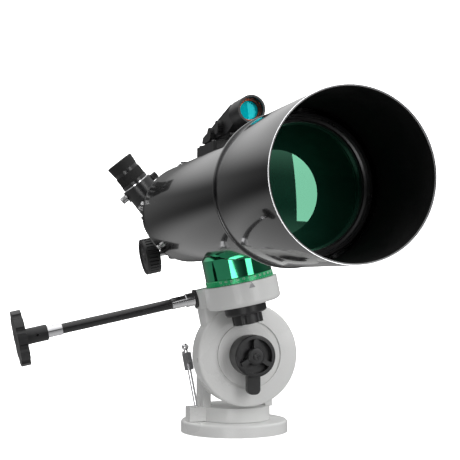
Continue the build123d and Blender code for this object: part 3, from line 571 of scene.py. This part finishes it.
@dataclass
class OpticalTube:
    """The tube, dew shield and front lens, turned about the optical axis. Sizes in millimetres."""

    shield_radius: float = 61.0
    shield_wall: float = 1.6
    shield_length: float = 128.0
    ring_radius: float = 61.8
    ring_length: float = 6.0
    tube_radius: float = 52.0
    tube_wall: float = 2.0
    tube_front: float = 131.0
    tube_rear: float = 438.0
    lens_radius: float = 51.0
    lens_front: float = 104.0
    crown_edge: float = 5.5
    lens_curve: float = 300.0
    liner_end: float = 93.5
    rim_depth: float = 0.7
    # width of the chrome ring that paints the highlight on the dew shield's front rim
    rim_line: float = 0.55
    step_radius: float = 56.1
    thread_front: float = 94.6
    thread_pitch: float = 0.95
    thread_grooves: int = 5

    def front(self) -> np.ndarray:
        """The middle of the dew shield's front rim."""
        low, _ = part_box("dew_shield")
        middle = node_centre("dew_shield")
        return np.array((middle[0], low[1], middle[2]))

    def lens_outline(self) -> np.ndarray:
        """Outline of the front lens in metres: two arcs, edge -/+ (sqrt(R^2 - r^2) - sqrt(R^2 - edge^2))."""
        r = np.linspace(0, self.lens_radius, 40)
        sag = np.sqrt(self.lens_curve ** 2 - r ** 2) - math.sqrt(self.lens_curve ** 2 - self.lens_radius ** 2)
        front = np.stack([r, self.lens_front - sag], axis=1)
        back = np.stack([r, self.lens_front + self.crown_edge + sag], axis=1)[::-1]
        return np.concatenate([front, back]) * MM

    def build(self, paint: Paintbox) -> None:
        """Make the shells, the chrome ring that stands in for the painted highlight on the rolled front rim,
        the liner, the bead and the lens.
        """
        centre = self.front()
        outer, inner = self.shield_radius, self.shield_radius - self.shield_wall
        settle(turned("dew_shield_shell", ring_outline(inner, outer, self.rim_depth, self.shield_length, 0.4),
                      centre, Axis.BACK, FINE_TURN), "tube", "gloss_black", paint, "dew_shield")
        # painted highlight: a thin chrome ring on the outer edge of the shield's front rim stands in for the
        # light caught by the black rolled edge
        rim = ring_outline(outer - self.rim_line, outer, 0.1, self.rim_depth, 0.25)
        settle(turned("shield_rim_highlight", rim, centre, Axis.BACK, FINE_TURN), "tube", "chrome", paint)
        liner = ring_outline(inner - 0.25, inner - 0.02, 1.6, self.liner_end, 0.05)
        settle(turned("shield_liner", liner, centre, Axis.BACK, FINE_TURN), "tube", "flocked_black", paint)
        start, end = self.shield_length, self.shield_length + self.ring_length
        bead = rounded([(self.tube_radius + 0.1, start + 3.2), (self.step_radius, start + 3.0),
                        (self.step_radius, start + 0.05), (self.ring_radius - 0.6, start + 0.05),
                        (self.ring_radius, start + 1.2), (self.ring_radius, end - 1.6),
                        (self.ring_radius - 1.8, end), (self.tube_radius + 0.1, end)], 1.2, 5)
        settle(turned("shield_ring_bead", bead, centre, Axis.BACK, FINE_TURN), "tube", "gloss_black", paint,
               "dew_shield_ring")
        tube = ring_outline(self.tube_radius - self.tube_wall, self.tube_radius, self.tube_front,
                            self.tube_rear, 0.3)
        settle(turned("main_tube_shell", tube, centre, Axis.BACK, FINE_TURN), "tube", "gloss_black", paint,
               "main_tube")
        lens = turned("front_lens_glass", self.lens_outline(), centre, Axis.BACK, LENS_TURN)
        settle(lens, "tube", "coated_glass", paint, "crown_lens")
        grooves = []
        for index in range(self.thread_grooves):
            low = self.thread_front + self.thread_pitch * index
            grooves += [(52.75, low), (52.35, low + 0.35)]
        outline = np.array(grooves + [(52.9, 99.0), (52.95, 94.4)]) * MM
        threads = turned("cell_thread_rings", outline, centre, Axis.BACK, LENS_TURN, smooth=20.0)
        settle(threads, "tube", "black_metal", paint)


@dataclass
class SettingCircle:
    """The engraved scale on the green ring and the pointer on the casting. Sizes in millimetres."""

    radius: float = 32.5
    marks: int = 72
    numerals: int = 36
    mark_width: float = 0.3
    mark_depth: float = 0.12
    mark_low: float = -2.55
    long_mark: float = 1.7
    short_mark: float = 1.0
    letter_height: float = 3.0
    pointer_width: float = 6.0
    pointer_height: float = 5.0
    pointer_tip: float = -3.6
    housing_radius: float = 35.5

    def centre(self) -> np.ndarray:
        """The middle of the ring."""
        return node_centre("setting_circle")

    def around(self, angle: np.ndarray) -> tuple[np.ndarray, np.ndarray]:
        """Outward and sideways directions at angles round the ring, counted from the front to the right."""
        right, back = Axis.RIGHT.vector, Axis.BACK.vector
        out = np.sin(angle)[..., None] * right - np.cos(angle)[..., None] * back
        across = np.cos(angle)[..., None] * right + np.sin(angle)[..., None] * back
        return out, across

    def build(self, paint: Paintbox) -> None:
        """Make the marks, the numerals and the pointer."""
        self.build_marks(paint)
        self.build_numerals(paint)
        self.build_pointer(paint)

    def build_marks(self, paint: Paintbox) -> None:
        """Thin upright marks, every sixth one long, standing 0.05 mm out of the ring's side."""
        angle = np.arange(self.marks) * 2 * math.pi / self.marks
        out, across = self.around(angle)
        up = np.tile(Axis.UP.vector, (self.marks, 1))
        long = np.arange(self.marks) % 6 == 0
        half_height = np.where(long, self.long_mark / 2, self.short_mark / 2)
        height = self.mark_low + half_height
        centres = self.centre() + out * self.radius * MM + up * (height * MM)[:, None]
        width = np.full(self.marks, self.mark_width / 2)
        depth = np.full(self.marks, self.mark_depth / 2)
        half = np.stack([width, depth, half_height], 1) * MM
        settle(boxes("circle_marks", centres, across, out, up, half), "tube", "scale_white", paint)

    def build_numerals(self, paint: Paintbox) -> None:
        """Numbers wrapped on the ring: a letter's x becomes an angle x / radius, its y a height."""
        points, faces, total = [], [], 0
        for index in range(self.numerals):
            turn = index * 360 // self.numerals % 180
            value = min(turn, 180 - turn)
            curve = bpy.data.curves.new("numeral", "FONT")
            curve.body = str(value)
            curve.align_x = "CENTER"
            curve.size = self.letter_height * MM
            curve.extrude = self.mark_depth / 2 * MM
            curve.resolution_u = 3
            letter = bpy.data.objects.new("numeral", curve)
            mesh = bpy.data.meshes.new_from_object(letter)
            flat = np.empty(len(mesh.vertices) * 3)
            mesh.vertices.foreach_get("co", flat)
            flat = flat.reshape(-1, 3)
            out, _ = self.around(index * 2 * math.pi / self.numerals + flat[:, 0] / (self.radius * MM))
            lift = (flat[:, 1] - 0.1 * MM)[:, None] * Axis.UP.vector
            points.append(self.centre() + out * (self.radius * MM + flat[:, 2])[:, None] + lift)
            faces += [tuple(v + total for v in polygon.vertices) for polygon in mesh.polygons]
            total += len(flat)
            bpy.data.objects.remove(letter)
            bpy.data.curves.remove(curve)
            bpy.data.meshes.remove(mesh)
        mesh = bpy.data.meshes.new("circle_numerals")
        mesh.from_pydata(np.concatenate(points).tolist(), [], faces)
        piece = bpy.data.objects.new("circle_numerals", mesh)
        bpy.context.scene.collection.objects.link(piece)
        settle(piece, "tube", "scale_white", paint)

    def build_pointer(self, paint: Paintbox) -> None:
        """A small raised triangle on the front of the housing, its tip at the ring."""
        right, up, back = Axis.RIGHT.vector, Axis.UP.vector, Axis.BACK.vector
        base = self.pointer_tip - self.pointer_height
        corners = np.array([(-self.pointer_width / 2, base), (self.pointer_width / 2, base),
                            (0.0, self.pointer_tip)])
        shape = corners[:, :1] * right + corners[:, 1:] * up
        near, far = self.housing_radius + 0.45, self.housing_radius - 0.6
        points = np.concatenate([shape - back * near, shape - back * far]) * MM + self.centre()
        mesh = bpy.data.meshes.new("index_pointer")
        faces = [(0, 1, 2), (5, 4, 3), (0, 3, 4, 1), (1, 4, 5, 2), (2, 5, 3, 0)]
        mesh.from_pydata(points.tolist(), [], faces)
        piece = bpy.data.objects.new("index_pointer", mesh)
        bpy.context.scene.collection.objects.link(piece)
        settle(piece, "polar_head", "grey_casting", paint)


@dataclass
class FocusTrim:
    """Turned inserts in the focus knobs. Sizes in millimetres."""

    knob_radius: float = 20.0
    outer_face: float = 48.0
    recess: float = 2.0
    rim_width: float = 4.6

    def build(self, paint: Paintbox) -> None:
        """Make a turned insert with a centre screw on both sides."""
        middle = node_centre("pinion_shaft")
        insert = self.knob_radius - self.rim_width
        for side, name in ((-1, "focus_insert_left"), (1, "focus_insert_right")):
            face = self.outer_face - self.recess
            rows = [(0.0, face), (insert, face), (insert, face + 1.0), (insert - 1.2, face + 1.4),
                    (9.0, face + 1.4), (8.6, face + 1.0), (4.6, face + 1.0), (4.2, face + 2.2),
                    (1.8, face + 2.2), (1.5, face + 1.2), (0.0, face + 1.2)]
            outline = np.array(rows) * (1.0, side) * MM
            piece = turned(name, outline, middle, Axis.RIGHT, SMALL_TURN, smooth=25.0)
            settle(piece, "focus_knobs", "black_metal", paint)


@dataclass
class EyepieceTrim:
    """Ribbed grip and a fine ring on the eyepiece. Sizes in millimetres."""

    grip_radius: float = 15.75
    body_radius: float = 15.35
    grip_low: float = 57.5
    grip_high: float = 71.0
    ribs: int = 60
    rib_height: float = 0.3

    def origin(self) -> np.ndarray:
        """The point where the diagonal turns the light, on the optical axis."""
        axis = node_centre("main_tube")
        low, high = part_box("diagonal_body")
        return np.array((axis[0], (low[1] + high[1]) / 2, axis[2]))

    def build(self, paint: Paintbox) -> None:
        """Make the ribbed band and a fine ring at the top of the body."""
        centre = self.origin()
        band = ring_outline(self.body_radius, self.grip_radius, self.grip_low, self.grip_high, 0.3)
        piece = turned("eyepiece_grip", band, centre, Axis.EYE, 360, (self.ribs, self.rib_height * MM), 60.0)
        settle(piece, "eyepiece", "rubber", paint)
        line = turned("eyepiece_top_line", ring_outline(15.2, 15.5, 73.4, 74.1, 0.1), centre, Axis.EYE, 128)
        settle(line, "eyepiece", "black_metal", paint)


@dataclass
class FinderTrim:
    """The finder's front: a stepped sleeve, a red-coated step and a small window. Sizes in millimetres."""

    window_radius: float = 8.3
    sleeve_radius: float = 10.9

    def build(self, paint: Paintbox) -> None:
        """Make the sleeve, the coated step and the window, from the front of the CAD window backwards."""
        low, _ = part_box("finder_window")
        middle = node_centre("finder_window")
        centre = np.array((middle[0], low[1], middle[2]))
        inner, outer = self.window_radius, self.sleeve_radius
        profile = [(inner, 1.6), (outer, 1.6), (outer, -4.6), (outer - 0.7, -4.6), (outer - 0.9, -2.6),
                   (inner + 0.9, -2.6), (inner + 0.8, -0.6), (inner, -0.6)]
        sleeve = turned("finder_sleeve", rounded(profile, 0.15, 2), centre, Axis.BACK, SMALL_TURN)
        settle(sleeve, "tube", "black_plastic", paint)
        step = turned("finder_coated_step", ring_outline(inner + 0.55, inner + 0.78, -2.4, -0.7, 0.05),
                      centre, Axis.BACK, SMALL_TURN)
        settle(step, "tube", "red_coating", paint)
        edge = turned("finder_coated_edge", ring_outline(outer - 0.82, outer - 0.72, -4.4, -2.8, 0.03),
                      centre, Axis.BACK, SMALL_TURN)
        settle(edge, "tube", "red_coating", paint)
        bulge = [(0.0, 0.0), (inner * 0.5, 0.12), (inner + 0.05, 0.5), (inner + 0.05, 1.7), (0.0, 1.7)]
        window = turned("finder_window_glass", np.array(bulge) * MM, centre, Axis.BACK, SMALL_TURN)
        settle(window, "tube", "finder_glass", paint, "finder_window")


@dataclass
class ControlTrim:
    """Screws and caps on the knobs. Sizes in millimetres."""

    screw_radius: float = 3.4
    cap_radius: float = 6.0
    star_face: float = 4.3

    def build(self, paint: Paintbox) -> None:
        """Make the clamp knob's screw and the star knob's cap."""
        low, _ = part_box("clamp_knob")
        middle = node_centre("clamp_cup")
        centre = np.array((middle[0], low[1], middle[2]))
        rows = [(0.0, 0.3), (self.screw_radius, 0.3), (self.screw_radius, -0.6),
                (self.screw_radius - 0.6, -1.1), (1.6, -1.1), (1.4, -0.3), (0.0, -0.3)]
        screw = turned("clamp_knob_screw", np.array(rows) * MM, centre, Axis.BACK, SCREW_TURN, smooth=25.0)
        settle(screw, "clamp_knob", "black_metal", paint)
        star = node_centre("star_knob")
        face = self.star_face
        rows = [(0.0, -face + 0.4), (self.cap_radius, -face + 0.4), (self.cap_radius, -face - 0.2),
                (self.cap_radius - 1.0, -face - 0.3), (0.0, -face - 0.3)]
        cap = turned("star_knob_cap", np.array(rows) * MM, star, Axis.RIGHT, SCREW_TURN, smooth=25.0)
        settle(cap, "slow_motion", "black_plastic", paint)


# ------------------------------------------------------------------ studio


@dataclass
class Studio:
    """Floor, lights and camera."""

    camera_place: tuple[float, float, float] = (-0.30692, -1.02885, 0.15481)
    right: tuple[float, float, float] = (0.95939, -0.28207, 0.0)
    up: tuple[float, float, float] = (-0.01282, -0.04362, 0.99897)
    forward: tuple[float, float, float] = (0.28178, 0.95840, 0.04546)
    lens: float = 82.17
    air_strength: float = 1.9
    bands: tuple[tuple[float, float], ...] = ((0.0, 0.30), (0.40, 0.17), (0.49, 0.03), (0.56, 0.05),
                                              (0.70, 0.42), (1.0, 0.75))
    floor_rows: int = 40
    floor_half_width: float = 4.0
    bend_start: float = 1.6
    bend_radius: float = 1.6

    def camera(self) -> None:
        """Make the camera and set it."""
        data = bpy.data.cameras.new("camera")
        data.lens = self.lens
        data.sensor_width = 36.0
        data.clip_end = 50.0
        camera = bpy.data.objects.new("camera", data)
        bpy.context.scene.collection.objects.link(camera)
        rows = np.array([self.right, self.up, -np.array(self.forward)]).T
        place = Matrix(rows.tolist()).to_4x4()
        place.translation = self.camera_place
        camera.matrix_world = place
        bpy.context.scene.camera = camera

    def area(self, name: str, place: tuple[float, float, float], target: tuple[float, float, float],
             size: tuple[float, float], power: float) -> None:
        """Make one softbox that faces a target.

        Args:
            name: the light's name.
            place: where it stands.
            target: the point it faces.
            size: width and height in metres.
            power: watts.
        """
        data = bpy.data.lights.new(name, "AREA")
        data.shape = "RECTANGLE"
        data.size, data.size_y = size
        data.energy = power
        lamp = bpy.data.objects.new(name, data)
        bpy.context.scene.collection.objects.link(lamp)
        look = np.array(target) - np.array(place)
        look = look / np.linalg.norm(look)
        side = np.cross(look, Axis.WORLD_UP.vector)
        side = side / np.linalg.norm(side)
        top = np.cross(side, look)
        matrix = Matrix(np.array([side, top, -look]).T.tolist()).to_4x4()
        matrix.translation = place
        lamp.matrix_world = matrix

    def floor(self) -> None:
        """A wide pale floor that rises into a backdrop: height grows with a quarter circle past the edge."""
        rows = self.floor_rows
        y = np.linspace(-3.0, 3.2, rows)
        bend = np.clip(y - self.bend_start, 0, self.bend_radius) / self.bend_radius
        height = self.bend_radius * (1 - np.sqrt(1 - bend ** 2 * 0.999))
        x = np.array([-self.floor_half_width, self.floor_half_width])
        grid = np.stack(np.meshgrid(x, y, indexing="ij"), axis=-1)
        raised = np.broadcast_to(height[None, :, None], (2, rows, 1))
        points = np.concatenate([grid, raised], axis=2).reshape(-1, 3)
        index = np.arange(rows - 1)
        faces = np.stack([index, index + rows, index + rows + 1, index + 1], axis=1)
        mesh = bpy.data.meshes.new("studio_floor")
        mesh.from_pydata(points.tolist(), [], faces.tolist())
        mesh.shade_smooth()
        material = bpy.data.materials.new("studio_white")
        material.use_nodes = True
        shader = material.node_tree.nodes["Principled BSDF"]
        shader.inputs["Base Color"].default_value = (0.93, 0.93, 0.93, 1.0)
        shader.inputs["Roughness"].default_value = 0.9
        shader.inputs["Emission Color"].default_value = (1.0, 1.0, 1.0, 1.0)
        shader.inputs["Emission Strength"].default_value = 0.75
        mesh.materials.append(material)
        piece = bpy.data.objects.new("studio_floor", mesh)
        piece.visible_glossy = False
        piece.visible_diffuse = False
        bpy.context.scene.collection.objects.link(piece)

    def air(self) -> None:
        """Air that is bright overhead, dark at eye level and grey below, which shades round sides smoothly."""
        world = bpy.data.worlds.new("studio_air")
        world.use_nodes = True
        tree = world.node_tree
        place = tree.nodes.new("ShaderNodeTexCoord")
        split = tree.nodes.new("ShaderNodeSeparateXYZ")
        ramp = tree.nodes.new("ShaderNodeValToRGB")
        tree.links.new(place.outputs["Generated"], split.inputs[0])
        height = math_node(tree, "MULTIPLY_ADD", split.outputs["Z"], 0.5)
        height.node.inputs[2].default_value = 0.5
        tree.links.new(height, ramp.inputs["Fac"])
        bands = ramp.color_ramp
        bands.interpolation = "EASE"
        bands.elements[0].position, bands.elements[1].position = self.bands[0][0], self.bands[-1][0]
        for place_along, _ in self.bands[1:-1]:
            bands.elements.new(place_along)
        for element, (_, grey) in zip(bands.elements, self.bands):
            element.color = (grey, grey, grey, 1.0)
        background = tree.nodes["Background"]
        tree.links.new(ramp.outputs["Color"], background.inputs["Color"])
        background.inputs["Strength"].default_value = self.air_strength
        bpy.context.scene.world = world

    def build(self) -> None:
        """Make everything round the object."""
        self.camera()
        self.floor()
        middle = (0.0, -0.1, 0.2)
        lens_middle = (-0.02, -0.28, 0.23)
        self.area("low_front", (-0.75, -1.45, -0.30), middle, (0.7, 0.5), 5.0)
        self.area("front_lens", (0.68, -1.56, 0.66), lens_middle, (0.62, 1.35), 9.5)
        self.area("top", (0.0, -0.1, 1.7), middle, (1.0, 0.5), 3.0)
        self.area("back_wash", (0.0, 1.2, 1.3), (0.0, 2.5, 0.6), (2.4, 1.0), 40.0)
        self.air()
        bpy.context.scene.view_settings.view_transform = "Standard"


def main() -> None:
    """Build the studio, the finishes and each sub-assembly."""
    logging.basicConfig(level=logging.INFO, format="%(name)s: %(message)s")
    Studio().build()
    paint = Paintbox()
    paint.dress_cad()
    assemblies = (OpticalTube(), SettingCircle(), FocusTrim(), EyepieceTrim(), FinderTrim(), ControlTrim())
    for assembly in assemblies:
        assembly.build(paint)
        LOG.info("%s is built", type(assembly).__name__)
    bpy.context.view_layer.update()


if __name__ == "__main__":
    main()
